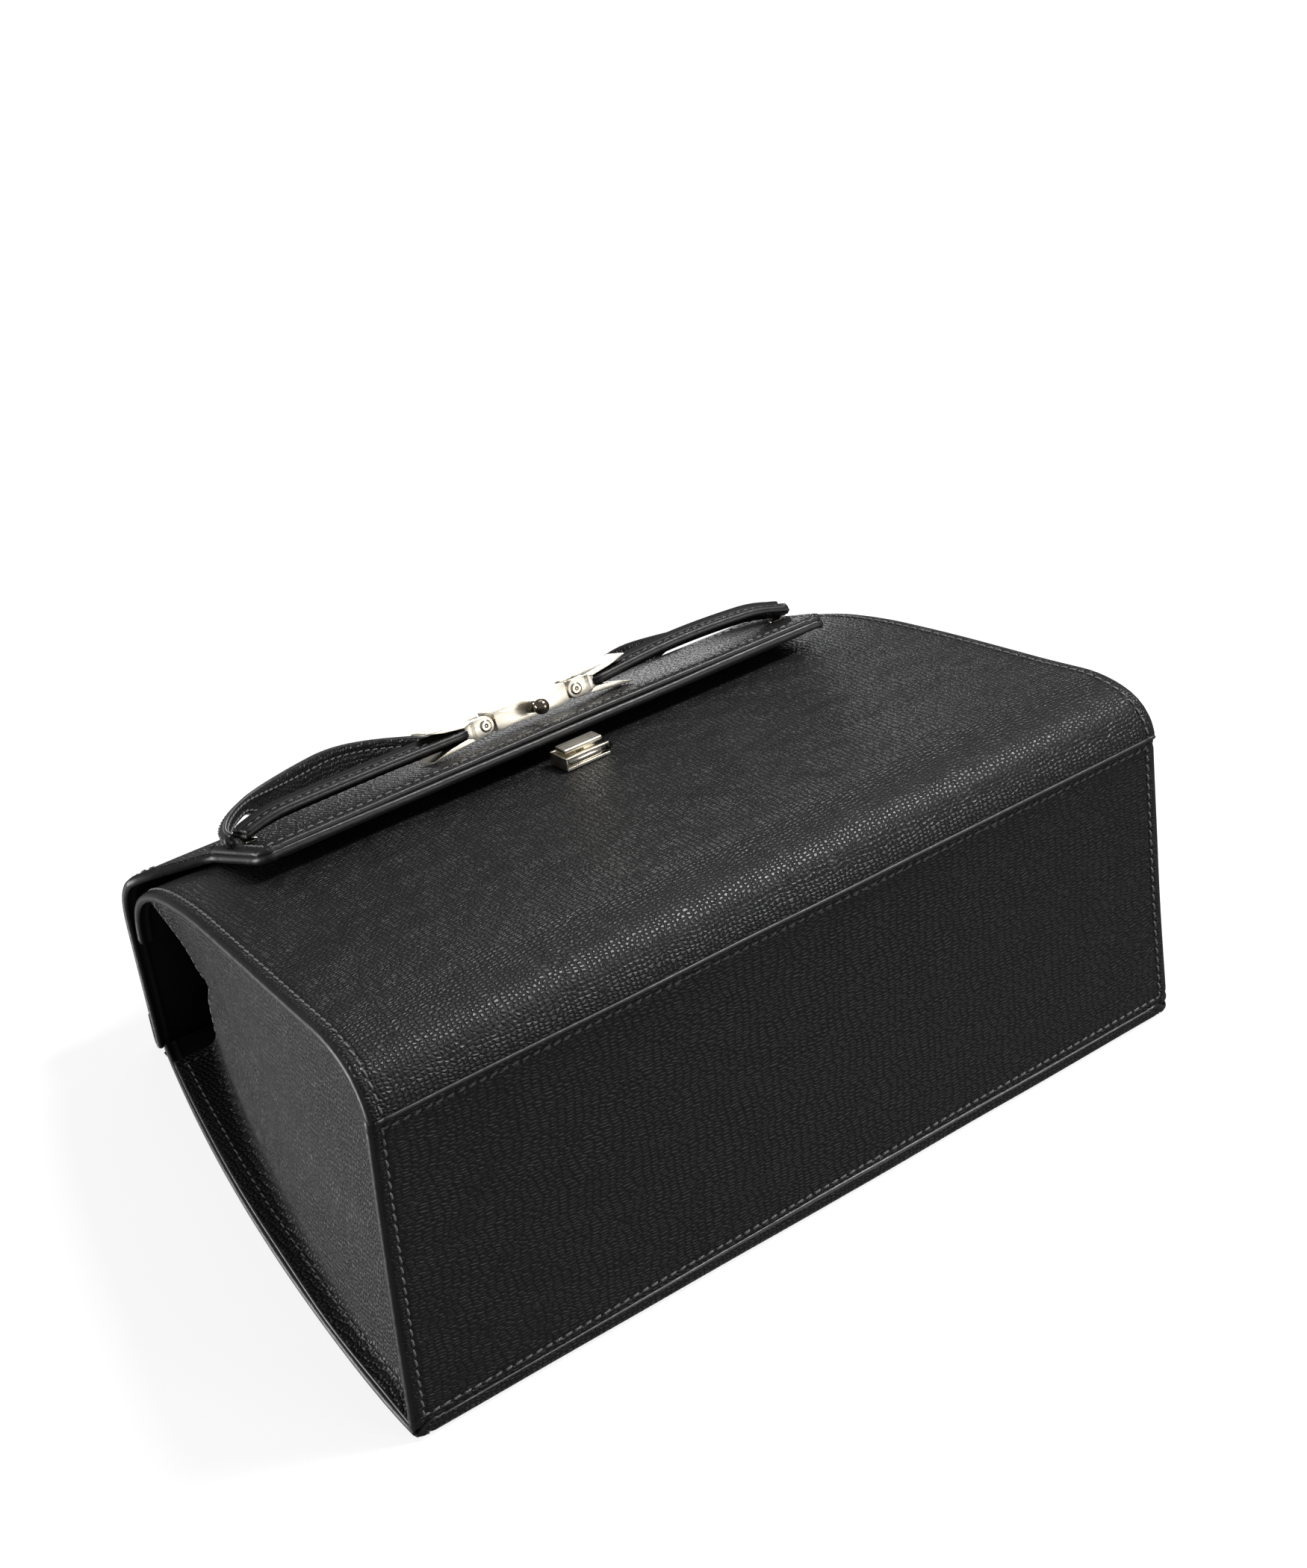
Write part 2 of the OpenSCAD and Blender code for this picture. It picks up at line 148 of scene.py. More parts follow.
# ---- camera: the photograph's angle, with the bag lying on its back; solved from the photo's edges ----
eye = metres([-361.06, -355.60, -476.02])
aim = unit(metres([-44.21, -57.36, -1.26]) - eye)
head = unit(np.array([0.35569, -0.87981, 0.31530]))
side = unit(np.cross(aim, head))
head = np.cross(side, aim)
camera_data = bpy.data.cameras.new("camera")
camera_data.sensor_fit, camera_data.sensor_width, camera_data.lens = "HORIZONTAL", 36.0, 69.454
camera_data.clip_start, camera_data.clip_end = 0.01, 20.0
camera = bpy.data.objects.new("camera", camera_data)
camera.matrix_world = Matrix(((side[0], head[0], -aim[0], eye[0]), (side[1], head[1], -aim[1], eye[1]),
                              (side[2], head[2], -aim[2], eye[2]), (0, 0, 0, 1)))
bpy.context.collection.objects.link(camera)
bpy.context.scene.camera = camera


# ---- materials ----
class Nodes:
    """A node material with short calls for the nodes that repeat."""

    def __init__(self, name, **shader):
        self.mat = bpy.data.materials.new(name)
        self.mat.use_nodes = True
        self.tree = self.mat.node_tree
        self.bsdf = self.tree.nodes["Principled BSDF"]
        for key, value in shader.items():
            self.bsdf.inputs[key.replace("_", " ")].default_value = value

    def node(self, kind, out=0, props=None, **inputs):
        """One output of a new node. An input is named by its socket, or by i and the socket's number."""
        n = self.tree.nodes.new(kind)
        for key, value in (props or {}).items():
            setattr(n, key, value)
        for key, value in inputs.items():
            numbered = key[0] == "i" and key[1:].isdigit()
            socket = n.inputs[int(key[1:]) if numbered else key.replace("_", " ")]
            if isinstance(value, bpy.types.NodeSocket):
                self.tree.links.new(value, socket)
            else:
                socket.default_value = value
        return n.outputs[out]

    def math(self, op, a, b=0.5, c=0.5):
        return self.node("ShaderNodeMath", props={"operation": op}, i0=a, i1=b, i2=c)

    def coords(self, uv=True, scale=(1, 1, 1)):
        if uv:
            where = self.node("ShaderNodeUVMap", props={"uv_map": "surf"})
        else:
            where = self.node("ShaderNodeTexCoord", out="Object")
        return self.node("ShaderNodeMapping", Vector=where, Scale=scale)

    def noise(self, where, scale, detail=2.0, rough=0.5, out=0):
        return self.node("ShaderNodeTexNoise", out=out, Vector=where, Scale=scale, Detail=detail, Roughness=rough)

    def ramp(self, value, low, high, a=0.0, b=1.0):
        return self.node("ShaderNodeMapRange", props={"interpolation_type": "SMOOTHSTEP"},
                         Value=value, From_Min=low, From_Max=high, To_Min=a, To_Max=b)

    def mix(self, factor, a, b):
        return self.node("ShaderNodeMix", out=2, props={"data_type": "RGBA"}, i0=factor, i6=a, i7=b)

    def bump(self, height, distance, normal=None):
        extra = {"Normal": normal} if normal is not None else {}
        return self.node("ShaderNodeBump", Height=height, Distance=distance, Strength=1.0, **extra)

    def set(self, **sockets):
        for key, value in sockets.items():
            self.tree.links.new(value, self.bsdf.inputs[key.replace("_", " ")])
        return self.mat


def grey(v, blue=1.0):
    return (v, v, v * blue, 1.0)


def grained(name, dark, light, cell, depth, rough, wrinkle):
    """Embossed cross-grain leather: small domed cells in wavy rows, finer pores, slow wrinkles.

    cell is a cell's width and height, depth and wrinkle the heights of the two bumps, all in metres."""
    m = Nodes(name, Metallic=0.0, IOR=1.5)
    where = m.coords()
    drift = m.noise(where, 85.0, 2.0, out="Color")
    shifted = m.node("ShaderNodeVectorMath", props={"operation": "SUBTRACT"}, i0=drift, i1=(0.5, 0.5, 0.5))
    pushed = m.node("ShaderNodeVectorMath", props={"operation": "MULTIPLY_ADD"}, i0=shifted,
                    i1=(0.0042, 0.0042, 0.0), i2=where)
    cells = m.node("ShaderNodeMapping", Vector=pushed, Scale=(1 / cell[0], 1 / cell[1], 1.0))
    edge = m.node("ShaderNodeTexVoronoi", props={"voronoi_dimensions": "2D", "feature": "DISTANCE_TO_EDGE"},
                  Vector=cells, Scale=1.0, Randomness=0.62)
    tint = m.node("ShaderNodeTexVoronoi", out="Color", props={"voronoi_dimensions": "2D"},
                  Vector=cells, Scale=1.0, Randomness=0.62)
    dome = m.ramp(edge, 0.0, 0.34)
    pores = m.noise(where, 5200.0, 2.0, 0.6)
    patch = m.noise(where, 38.0, 4.0, 0.6)
    cell_tint = m.node("ShaderNodeSeparateColor", Color=tint)
    height = m.math("MULTIPLY_ADD", pores, 0.22, m.math("MULTIPLY_ADD", cell_tint, 0.18, dome))
    slow = m.noise(where, 70.0, 5.0, 0.62)
    folds = m.bump(slow, wrinkle)
    # Colour: the cells' tops lighter and the valleys between them darker, painted shade in the grain's hollows,
    # varied by random patches of tone.
    colour = m.mix(m.math("MULTIPLY", dome, m.ramp(patch, 0.2, 0.8, 0.7, 1.0)), dark, light)
    roughness = m.math("ADD", m.ramp(dome, 0.0, 1.0, rough + 0.35, rough),
                       m.ramp(patch, 0.3, 0.7, -0.035, 0.035))
    return m.set(Base_Color=colour, Roughness=roughness, Normal=m.bump(height, depth, normal=folds))


def painted(name, base, rough):
    """Burnished edge paint: satin, faintly uneven along its length."""
    m = Nodes(name, Metallic=0.0, IOR=1.5, Coat_Weight=0.12, Coat_Roughness=0.3)
    where = m.coords(uv=False)
    lump = m.noise(where, 420.0, 3.0, 0.55)
    speck = m.noise(where, 2600.0, 2.0)
    height = m.math("MULTIPLY_ADD", speck, 0.15, lump)
    return m.set(Base_Color=m.mix(lump, grey(base * 0.7), grey(base * 1.35)),
                 Roughness=m.ramp(lump, 0.3, 0.7, rough - 0.05, rough + 0.07),
                 Normal=m.bump(height, 0.00016))


def smooth_hide(name, base, rough):
    """Smooth underside leather with fine fibres and faint creases."""
    m = Nodes(name, Metallic=0.0, IOR=1.45)
    where = m.coords(uv=False)
    fibre = m.noise(where, 3100.0, 3.0, 0.6)
    patch = m.noise(where, 60.0, 4.0, 0.6)
    height = m.math("MULTIPLY_ADD", fibre, 0.12, patch)
    return m.set(Base_Color=m.mix(patch, grey(base * 0.75), grey(base * 1.3)),
                 Roughness=m.ramp(fibre, 0.3, 0.7, rough - 0.05, rough + 0.06),
                 Normal=m.bump(height, 0.0003))


BAND = 0.314  # width of one band of a Wave texture at scale 1


def twill(name, base, pitch):
    """Woven lining cloth: diagonal twill ribs over crossing threads."""
    m = Nodes(name, Metallic=0.0, IOR=1.4, Sheen_Weight=0.25, Sheen_Roughness=0.5)
    ribs = m.node("ShaderNodeTexWave", out="Fac", props={"bands_direction": "DIAGONAL"},
                  Vector=m.coords(), Scale=BAND / pitch, Distortion=0.6, Detail=1.0, Detail_Scale=2.0)
    threads = m.node("ShaderNodeTexWave", out="Fac", props={"bands_direction": "X"},
                     Vector=m.coords(), Scale=BAND / (pitch * 0.6), Distortion=0.3)
    fuzz = m.noise(m.coords(), 2400.0, 3.0, 0.6)
    height = m.math("MULTIPLY_ADD", fuzz, 0.4, m.math("MULTIPLY_ADD", threads, 0.45, ribs))
    return m.set(Base_Color=m.mix(ribs, grey(base * 0.6), grey(base * 1.4)),
                 Roughness=m.ramp(fuzz, 0.3, 0.7, 0.78, 0.92), Normal=m.bump(height, 0.00012))


def thread_mat():
    """Twisted dark grey thread, coloured lighter than it is: painted highlight on the stitches."""
    m = Nodes("thread", Metallic=0.0, IOR=1.5, Sheen_Weight=0.15)
    twist = m.node("ShaderNodeTexWave", out="Fac", props={"bands_direction": "DIAGONAL"},
                   Vector=m.coords(uv=False), Scale=900.0, Distortion=1.5, Detail=1.0)
    return m.set(Base_Color=m.mix(twist, grey(0.08), grey(0.24)), Roughness=m.ramp(twist, 0, 1, 0.55, 0.38),
                 Normal=m.bump(twist, 0.00008))


def brushed(name, low, high, rough, along_axis, depth=0.00002):
    """Metal with fine lines left by the brush along one axis, and a little handling haze."""
    m = Nodes(name, Metallic=1.0)
    stretch = [5200.0, 5200.0, 5200.0]
    stretch[along_axis] = 90.0
    lines = m.noise(m.coords(uv=False, scale=tuple(stretch)), 1.0, 4.0, 0.65)
    haze = m.noise(m.coords(uv=False), 240.0, 4.0, 0.6)
    return m.set(Base_Color=m.mix(m.math("MULTIPLY_ADD", haze, 0.5, m.math("MULTIPLY", lines, 0.6)), low, high),
                 Roughness=m.math("ADD", m.ramp(lines, 0.3, 0.7, rough - 0.06, rough + 0.06),
                                  m.ramp(haze, 0.3, 0.7, -0.03, 0.05)),
                 Normal=m.bump(lines, depth))


def board_mat():
    """Brown fibre board with flecks."""
    m = Nodes("fibre_board", Metallic=0.0, IOR=1.45)
    flecks = m.noise(m.coords(uv=False, scale=(1, 3.5, 1)), 420.0, 5.0, 0.7)
    return m.set(Base_Color=m.mix(flecks, (0.06, 0.042, 0.025, 1), (0.19, 0.14, 0.09, 1)),
                 Roughness=m.ramp(flecks, 0.3, 0.7, 0.75, 0.9), Normal=m.bump(flecks, 0.0002))


LEATHER = grained("grained_leather", grey(0.0006, 1.1), grey(0.010, 1.14), cell=(0.0017, 0.00115),
                  depth=0.00019, rough=0.24, wrinkle=0.0003)
# The gussets' leather is the body's leather in lighter colours: painted light on the gusset walls.
GUSSET = grained("gusset_leather", grey(0.0008), grey(0.02, 1.05), cell=(0.0018, 0.0013),
                 depth=0.0003, rough=0.28, wrinkle=0.0004)
EDGE = painted("edge_paint", 0.014, 0.4)
HIDE = smooth_hide("smooth_leather", 0.006, 0.55)
CLOTH = twill("lining_cloth", 0.022, 0.0009)
THREAD = thread_mat()
GOLD_LOW, GOLD_HIGH = (0.84, 0.76, 0.60, 1), (0.98, 0.93, 0.82, 1)
GOLD = brushed("gold_brushed", GOLD_LOW, GOLD_HIGH, 0.3, 0, 0.000003)
GOLD_POLISHED = brushed("gold_polished", GOLD_LOW, GOLD_HIGH, 0.12, 2, 0.000001)
# The ball's gold is darkened: painted reflection of the black leather round it.
BALL = brushed("ball_painted_dark_reflection", (0.30, 0.25, 0.19, 1), (0.42, 0.36, 0.28, 1), 0.07, 2, 0.000001)
STEEL = brushed("steel", (0.30, 0.30, 0.31, 1), (0.62, 0.62, 0.63, 1), 0.32, 0)
# Dark metal for the barrel's knob; the same dark is painted shade in the barrel's hole.
DARK_METAL_AND_SHADE = brushed("dark_metal_and_hole_shade", (0.012, 0.012, 0.013, 1), (0.05, 0.048, 0.045, 1), 0.28, 1)
BOARD = board_mat()


# ---- mesh helpers ----
def mesh_object(name, points, faces, body, mats, face_mat=None, uv=None, replaces=()):
    """An object of the given drawn-millimetre points, riding on its body."""
    me = bpy.data.meshes.new(name)
    me.from_pydata(metres(points).tolist(), [], faces)
    for m in mats:
        me.materials.append(m)
    if face_mat is not None:
        me.polygons.foreach_set("material_index", face_mat)
    me.polygons.foreach_set("use_smooth", [True] * len(me.polygons))
    if uv is not None:
        layer = me.uv_layers.new(name="surf")
        loops = np.zeros(len(me.loops), int)
        me.loops.foreach_get("vertex_index", loops)
        layer.data.foreach_set("uv", (np.asarray(uv)[loops] * 0.001).ravel())
    me.update()
    obj = bpy.data.objects.new(name, me)
    bpy.context.collection.objects.link(obj)
    if body:
        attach(obj, body)
    if replaces:
        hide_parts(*replaces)
    return obj


def spread(low, high, step, dense_low=True):
    """Positions from low to high: close together near the sewn edges, step apart between."""
    near = [0, 0.5, 1.1, 1.8, 2.3, 2.8, 3.3, 3.8, 4.6, 6.0]
    a = [low + d for d in near] if dense_low else [low]
    b = [high - d for d in reversed(near)]
    n = max(2, int(round((b[0] - a[-1]) / step)))
    return np.array(a + list(np.linspace(a[-1], b[0], n + 1)[1:-1]) + b)


def wobble(p, size, scale, seed=0.0):
    """Slow uneven height over points, from -size to size."""
    shift = np.array([seed, -seed, 2 * seed])
    values = [noise.noise(Vector(q)) for q in p.reshape(-1, 3) / scale + shift]
    return size * np.array(values).reshape(p.shape[:-1])


def normals_of(p):
    """Unit normals of a grid, columns cross rows."""
    across_dir = np.gradient(p, axis=1)
    down_dir = np.gradient(p, axis=0)
    return unit(np.cross(across_dir, down_dir)), unit(across_dir), unit(down_dir)


def profile_drop(d, line=2.9):
    """How far leather dips near a sewn edge: rolled at the edge, pulled in along the stitches."""
    return 0.42 * np.clip(1 - d / 1.6, 0, 1) ** 2 + 0.34 * np.exp(-((d - line) / 0.75) ** 2)


def sheet(name, p, uv, thick, body, mats, flip=False, sewn=(), life=0.0, seed=0.0, replaces=()):
    """A skin of leather or cloth of real thickness under grid p, with rounded, painted edges.

    p is rows x columns x 3 on the outer face, uv the flat place of each point, sewn a list of distance grids
    to sewn edges, life the height of its slow unevenness; flip turns the face over. mats are the face's, the
    edge's and the underside's. Returns the object and the shaped outer grid with its normals."""
    n, cu, cv = normals_of(p)
    if flip:
        n = -n
    p = p + n * wobble(p, life, 42.0, seed)[..., None] if life else p.copy()
    for d in sewn:
        p = p - n * profile_drop(d)[..., None]
    rows, cols = p.shape[:2]
    ring = ([(0, c) for c in range(cols)] + [(r, cols - 1) for r in range(1, rows)]
            + [(rows - 1, c) for c in range(cols - 2, -1, -1)] + [(r, 0) for r in range(rows - 2, 0, -1)])
    out = []
    for r, c in ring:
        q = np.zeros(3)
        q += -cv[r, c] if r == 0 else cv[r, c] if r == rows - 1 else 0
        q += -cu[r, c] if c == 0 else cu[r, c] if c == cols - 1 else 0
        q -= n[r, c] * np.dot(q, n[r, c])
        out.append(unit(q))
    outer, inner = p.reshape(-1, 3), (p - n * thick).reshape(-1, 3)
    points, uvs = [outer, inner], [uv.reshape(-1, 2)] * 2
    size = rows * cols
    steps = 6  # facets round the rounded edge
    index = [[r * cols + c for r, c in ring]]
    base = 2 * size
    for k in range(1, steps):
        a = math.pi * k / steps
        layer = []
        for (r, c), q in zip(ring, out):
            mid = p[r, c] - n[r, c] * thick / 2
            layer.append(mid + n[r, c] * math.cos(a) * thick / 2 * 1.05 + q * math.sin(a) * thick * 0.42)
        points.append(np.array(layer))
        uvs.append(np.array([uv[r, c] for r, c in ring]))
        index.append(list(range(base, base + len(ring))))
        base += len(ring)
    index.append([size + r * cols + c for r, c in ring])
    faces, kinds = [], []
    for r in range(rows - 1):
        for c in range(cols - 1):
            a, b, e, f = r * cols + c, r * cols + c + 1, (r + 1) * cols + c + 1, (r + 1) * cols + c
            faces += [(a, b, e, f), (size + f, size + e, size + b, size + a)]
            kinds += [0, 2]
    m = len(ring)
    for k in range(steps):
        for j in range(m):
            j2 = (j + 1) % m
            faces.append((index[k][j2], index[k][j], index[k + 1][j], index[k + 1][j2]))
            kinds.append(1)
    if flip:
        faces = [f[::-1] for f in faces]
    obj = mesh_object(name, np.concatenate(points), faces, body, mats, kinds,
                      np.concatenate(uvs), replaces)
    return obj, p, n


def stitches(name, runs, body, pitch=3.3, length=2.6, radius=0.4, lift=0.2):
    """Thread: one small rounded stitch after another along each run of (points, normals)."""
    points, faces = [], []
    caps = [(-0.5, 0.0), (-0.44, 0.62), (-0.28, 1.0), (0.28, 1.0), (0.44, 0.62), (0.5, 0.0)]  # place, width
    around, slant = 6, 0.14
    for path, normal in runs:
        a = arc(path)
        count = max(1, int(a[-1] / pitch))
        for i in range(count):
            s = (i + 0.5) * a[-1] / count
            at = [along(path, [s + d])[0] for d in (-0.4, 0.0, 0.4)]
            n = unit(np.array([np.interp(s, a, normal[:, k]) for k in range(3)]))
            t = unit(at[2] - at[0])
            b = np.cross(n, t)
            t = unit(t + b * slant)
            b = unit(np.cross(n, t))
            base = len(points)
            for f, w in caps[1:-1]:
                dip = -0.35 * (2 * f) ** 4
                for k in range(around):
                    g = 2 * math.pi * k / around
                    points.append(at[1] + t * f * length + (n * math.cos(g) + b * math.sin(g)) * radius * w
                                  + n * (lift + dip))
            points.append(at[1] + t * caps[0][0] * length + n * (lift - 0.4))
            points.append(at[1] + t * caps[-1][0] * length + n * (lift - 0.4))
            for j in range(3):
                for k in range(around):
                    k2 = (k + 1) % around
                    faces.append((base + j * around + k, base + j * around + k2,
                                  base + (j + 1) * around + k2, base + (j + 1) * around + k))
            for k in range(around):
                k2 = (k + 1) % around
                faces.append((base + k2, base + k, base + 4 * around))
                faces.append((base + 3 * around + k, base + 3 * around + k2, base + 4 * around + 1))
    return mesh_object(name, np.array(points), faces, body, [THREAD])


SEWN = (5, -6)  # the rows or columns of a spread that lie 2.8 mm inside its two ends


def down(p, n, first, last, cols=SEWN):
    """Stitch runs down columns of a shaped grid, from row first up to row last."""
    return [(p[first:last, c], n[first:last, c]) for c in cols]


def across(p, n, first, last, rows=SEWN):
    """Stitch runs along rows of a shaped grid, from column first up to column last."""
    return [(p[r, first:last], n[r, first:last]) for r in rows]


def revolve(name, profile, origin, axis, body, mat, n, replaces=()):
    """A turned piece: profile is (radius, height) pairs along axis from origin, in drawn millimetres."""
    axis = unit(axis)
    a = unit(np.cross(axis, [0.31, 0.87, 0.39]))
    b = np.cross(axis, a)
    points, faces = [], []
    for r, h in profile:
        for k in range(n):
            g = 2 * math.pi * k / n
            points.append(np.asarray(origin) + axis * h + (a * math.cos(g) + b * math.sin(g)) * max(r, 1e-4))
    for j in range(len(profile) - 1):
        for k in range(n):
            k2 = (k + 1) % n
            faces.append((j * n + k, j * n + k2, (j + 1) * n + k2, (j + 1) * n + k))
    faces.append(tuple(range(n))[::-1])
    faces.append(tuple((len(profile) - 1) * n + k for k in range(n)))
    obj = mesh_object(name, np.array(points), faces, body, [mat], replaces=replaces)
    obj.data.set_sharp_from_angle(angle=math.radians(50))
    return obj


def bevel_sharp(bm, angle, width, segments=3):
    """Round over the edges that turn by more than angle degrees, width in millimetres."""
    sharp = [e for e in bm.edges if len(e.link_faces) == 2 and e.calc_face_angle(0) > math.radians(angle)]
    bmesh.ops.bevel(bm, geom=sharp, offset=width * 0.001, segments=segments, profile=0.5, affect="EDGES",
                    clamp_overlap=True)


def metal_object(bm, name, body, mat, replaces=()):
    """The bmesh as a metal piece riding on its body, smooth with crisp edges."""
    me = bpy.data.meshes.new(name)
    bm.to_mesh(me)
    bm.free()
    me.materials.append(mat)
    me.polygons.foreach_set("material_index", [0] * len(me.polygons))
    me.polygons.foreach_set("use_smooth", [True] * len(me.polygons))
    me.set_sharp_from_angle(angle=math.radians(40))
    obj = bpy.data.objects.new(name, me)
    bpy.context.collection.objects.link(obj)
    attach(obj, body)
    if replaces:
        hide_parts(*replaces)


def rounded(node, body, mat, width, segments):
    """A copy of a CAD node with its sharp edges rounded over, standing for it."""
    bm = bmesh.new()
    bm.from_mesh(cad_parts[node].data)
    bmesh.ops.remove_doubles(bm, verts=bm.verts, dist=1e-6)
    bmesh.ops.dissolve_limit(bm, angle_limit=math.radians(0.8), verts=bm.verts, edges=bm.edges)
    bevel_sharp(bm, 32.0, width, segments)
    bmesh.ops.recalc_face_normals(bm, faces=bm.faces)
    metal_object(bm, node + "_rounded", body, mat, [node])


GRAIN = [LEATHER, EDGE, HIDE]  # face, edge, underside


# ---- shell ----
def laid(u, yz):
    """Points at across positions u, rows x columns, with each row on its point (y, z) of the side profile."""
    return np.stack([u, yz[:, :1] + 0 * u, yz[:, 1:] + 0 * u], -1)


def flat(u, v):
    """The flat place of each point: across, and its row's position v."""
    return np.stack([u, v[:, None] + 0 * u], -1)


def trapezoid(half_of_v, vs, step=5.0, trim=1.0, zone=8.0):
    """Column positions that stay a fixed distance from both slanting sides of each row, and those distances.

    Within zone of a side they blend from that fixed distance to an even squeeze."""
    wide = float(np.max(half_of_v(vs))) - trim
    ref = spread(-wide, wide, step)
    edge = np.minimum(ref + wide, wide - ref)
    rows = []
    for v in vs:
        half = float(half_of_v(v)) - trim
        squeeze = half / wide
        near = np.clip(edge / zone, 0, 1)
        fixed = np.sign(ref) * (half - edge)
        rows.append(np.where(edge < zone, fixed * (1 - near) + ref * squeeze * near, ref * squeeze))
    u = np.array(rows)
    return u, np.minimum(u - u[:, :1], u[:, -1:] - u)


def front_half(s):
    """Half width of the front panel at s along its profile."""
    return half_w(np.interp(s, arc(front_smooth), front_smooth[:, 1]))


front_vs = spread(0.0, arc(front_smooth)[-1], 3.2)
front_u, front_edge = trapezoid(front_half, front_vs)
front_p = laid(front_u, along(front_smooth, front_vs))
front_p[..., 2] -= 0.75 * np.clip(1 - front_vs / 7.5, 0, 1)[:, None]  # lower at the base seam
_, front_p, front_n = sheet("front_panel_skin", front_p, flat(front_u, front_vs), LEATHER_T, "body",
                            GRAIN, sewn=[front_edge], life=0.5, seed=3.0,
                            replaces=["front_panel"])
stitches("front_panel_stitches", down(front_p, front_n, 1, -3), "body")

bottom_front, bottom_rear = 0.9, BASE_D - 3.9
bottom_vs = spread(bottom_front, bottom_rear, 4.5)
bottom_u, bottom_edge = trapezoid(lambda v: 140 + 4 * v / (BASE_D - 3.6), bottom_vs)
bottom_y = bottom_vs[:, None] + 0 * bottom_u
lengthwise = np.minimum(bottom_y - bottom_front, bottom_rear - bottom_y)
bottom_z = 0.7 * np.sin(np.pi * np.clip(lengthwise / 97, 0, 1))  # a slight hollow from below
bottom_uv = flat(bottom_u, bottom_vs) * np.array([0.62, 1.1]) + np.array([11.0, -340.0])
_, bottom_p, bottom_n = sheet("bottom_panel_skin", np.stack([bottom_u, bottom_y, bottom_z], -1), bottom_uv,
                              LEATHER_T, "body", GRAIN, flip=True,
                              sewn=[bottom_edge, lengthwise], life=0.35, seed=7.0,
                              replaces=["bottom_panel"])
stitches("bottom_panel_stitches", down(bottom_p, bottom_n, 3, -3) + across(bottom_p, bottom_n, 3, -3), "body")

lean_y, lean_z = math.sin(LEAN), math.cos(LEAN)
wrap = np.array([[97.4, -0.55], [99.6, -0.55], [101.0, -0.2], [101.7, 0.9]])
back_line = np.concatenate([wrap, [[BASE_D - s * lean_y, s * lean_z] for s in np.linspace(3, BACK_LEN - 1, 40)]])


def back_skin_half(v):
    """Half width of the back panel's skin at v along its line, its lower corners rounded."""
    corner = 1 - np.sqrt(1 - np.clip(1 - v / 7.0, 0, 1) ** 2)
    return back_half(np.clip(v - 4.6, 0, BACK_LEN)) - 1.2 - 1.5 * np.exp(-v / 9.0) - 4.5 * corner


back_vs = spread(0.0, arc(back_line)[-1], 4.5)
back_u, back_edge = trapezoid(back_skin_half, back_vs)
_, back_p, back_n = sheet("back_panel_skin", laid(back_u, along(back_line, back_vs)),
                          flat(back_u + 300, back_vs), LEATHER_T, "body", GRAIN,
                          flip=True, sewn=[back_edge], life=0.25, seed=12.0, replaces=["back_panel"])
stitches("back_panel_stitches", down(back_p, back_n, 6, -3) + across(back_p, back_n, 4, -4, (-6,)), "body")


def cord(name, path, radius, body, mat, n=10):
    """A thin round cord through the given points."""
    path = np.asarray(path, float)
    t = np.gradient(path, axis=0)
    t /= np.linalg.norm(t, axis=1)[:, None]
    a = np.cross(t, [0, 0, 1.0])
    a /= np.linalg.norm(a, axis=1)[:, None]
    b = np.cross(t, a)
    g = (2 * np.pi * np.arange(n) / n)[None, :, None]
    rings = path[:, None] + radius * (a[:, None] * np.cos(g) + b[:, None] * np.sin(g))
    faces = [(i * n + k, i * n + (k + 1) % n, (i + 1) * n + (k + 1) % n, (i + 1) * n + k)
             for i in range(len(path) - 1) for k in range(n)]
    ends = [tuple(range(n))[::-1], tuple(len(path) * n - n + k for k in range(n))]
    return mesh_object(name, rings.reshape(-1, 3), faces + ends, body, [mat])


seam = front_p[0, 1:-1] + np.array([0, 0.35, -0.25])
cord("front_seam_edge", seam, 0.62, "body", EDGE)

# ---- gussets: one soft sheet each, folded in at the crease and sewn flat on the back panel ----
inner_front = offset_path(front_smooth, LEATHER_T - 0.25)
inner_front = inner_front[(inner_front[:, 1] > 1.5) & (inner_front[:, 1] < 165)]
inner_front = inner_front[np.argsort(inner_front[:, 1])]


def gusset_row(z, n=44):
    """One level of the left gusset in plan: front edge, slack wall, crease and rear flange."""
    recess = 7 + 10.5 * (z / MOUTH_Z) ** 1.6
    wide = back_half(z / math.cos(LEAN))
    y0 = np.interp(z, inner_front[:, 1], inner_front[:, 0])
    y1 = back_y(z) - (LEATHER_T + 0.15) / math.cos(LEAN) - GUSSET_T
    a, c, e = np.array([half_w(z) - 3, y0]), np.array([wide - recess, y1]), np.array([wide - 2.6, y1])
    r = 4.5
    d = unit(a - c)
    bend = bez(c + d * r, c + d * r * 0.35, c + np.array([r * 0.35, 0]), c + np.array([r, 0]), 8)
    line = np.concatenate([np.linspace(a, bend[0], 30)[:-1], bend, np.linspace(bend[-1], e, 8)[1:]])
    at = along(line, np.linspace(0, arc(line)[-1], n))
    f = np.linspace(0, 1, n)
    wall = np.clip(f / 0.82, 0, 1)
    sag = 3.6 * np.sin(np.pi * wall) ** 1.3 * (0.25 + 0.75 * z / MOUTH_Z)
    sag += 0.7 * np.sin(np.pi * wall) * np.sin(z / 21.0 + 3 * wall) * (1 - z / 260)
    sag += 1.5 * np.exp(-((wall - 0.62) / 0.07) ** 2) * np.clip(z / 90, 0, 1)
    at[:, 0] -= sag
    return at, arc(at)


